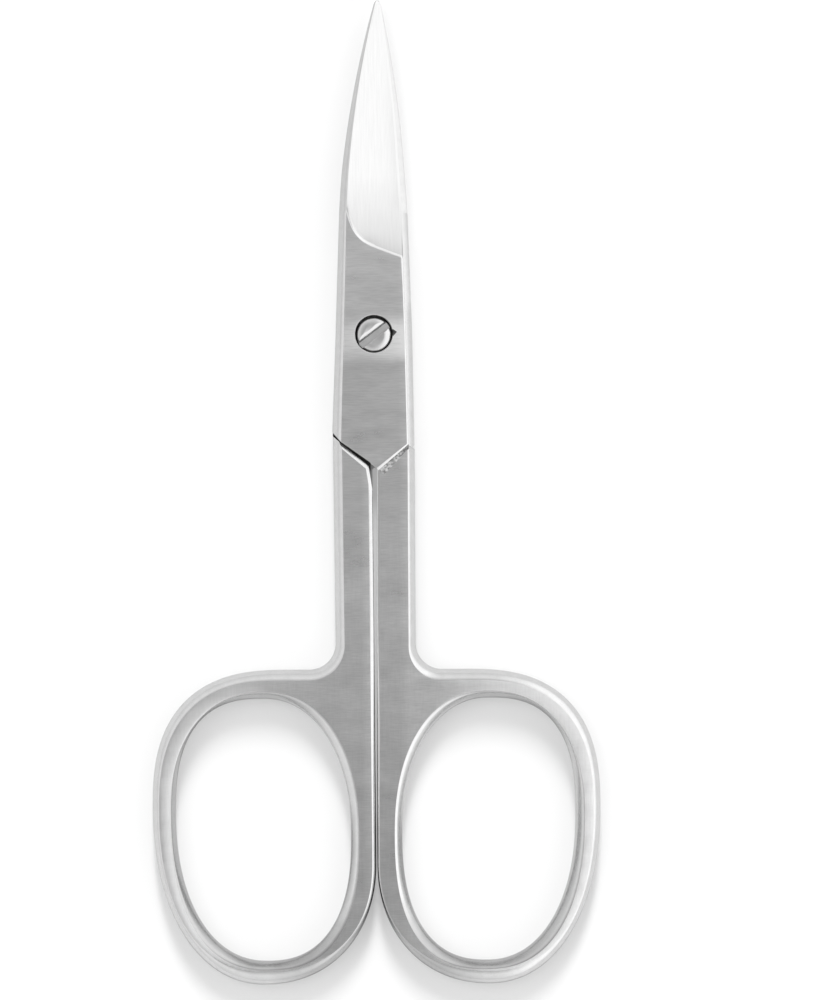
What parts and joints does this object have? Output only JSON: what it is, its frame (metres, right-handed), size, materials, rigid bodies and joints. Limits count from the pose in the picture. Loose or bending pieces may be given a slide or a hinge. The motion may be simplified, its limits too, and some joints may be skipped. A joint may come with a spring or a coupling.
{
  "type": "nail scissors",
  "caption": "Small straight nail scissors: two forged steel halves with oval finger bows and slim pointed blades, turning on a slotted pivot screw.",
  "frame": {"origin": "on the pivot's axis, in the plane of the rear half's flat face that the scissors lie on", "axes": "+Y from the pivot to the tips, +Z along the pivot's axis to the screw's head, +X to the side of the front half's handle"},
  "size_m": [0.041, 0.0899, 0.0036],
  "materials": {
    "plated_steel": "nickel plated, faces brushed across, ground blades and bevels polished",
    "screw_steel": "turned and polished"
  },
  "bodies": {
    "rear": {"rear_half": "plated_steel", "pivot_screw": "screw_steel"},
    "front": {"front_half": "plated_steel"}
  },
  "joints": [
    {"name": "pivot", "type": "hinge", "parent": "rear", "child": "front", "pos_m": [0, 0, 0.0018], "axis": [0, 0, 1], "range_deg": [0, 135]}
  ]
}
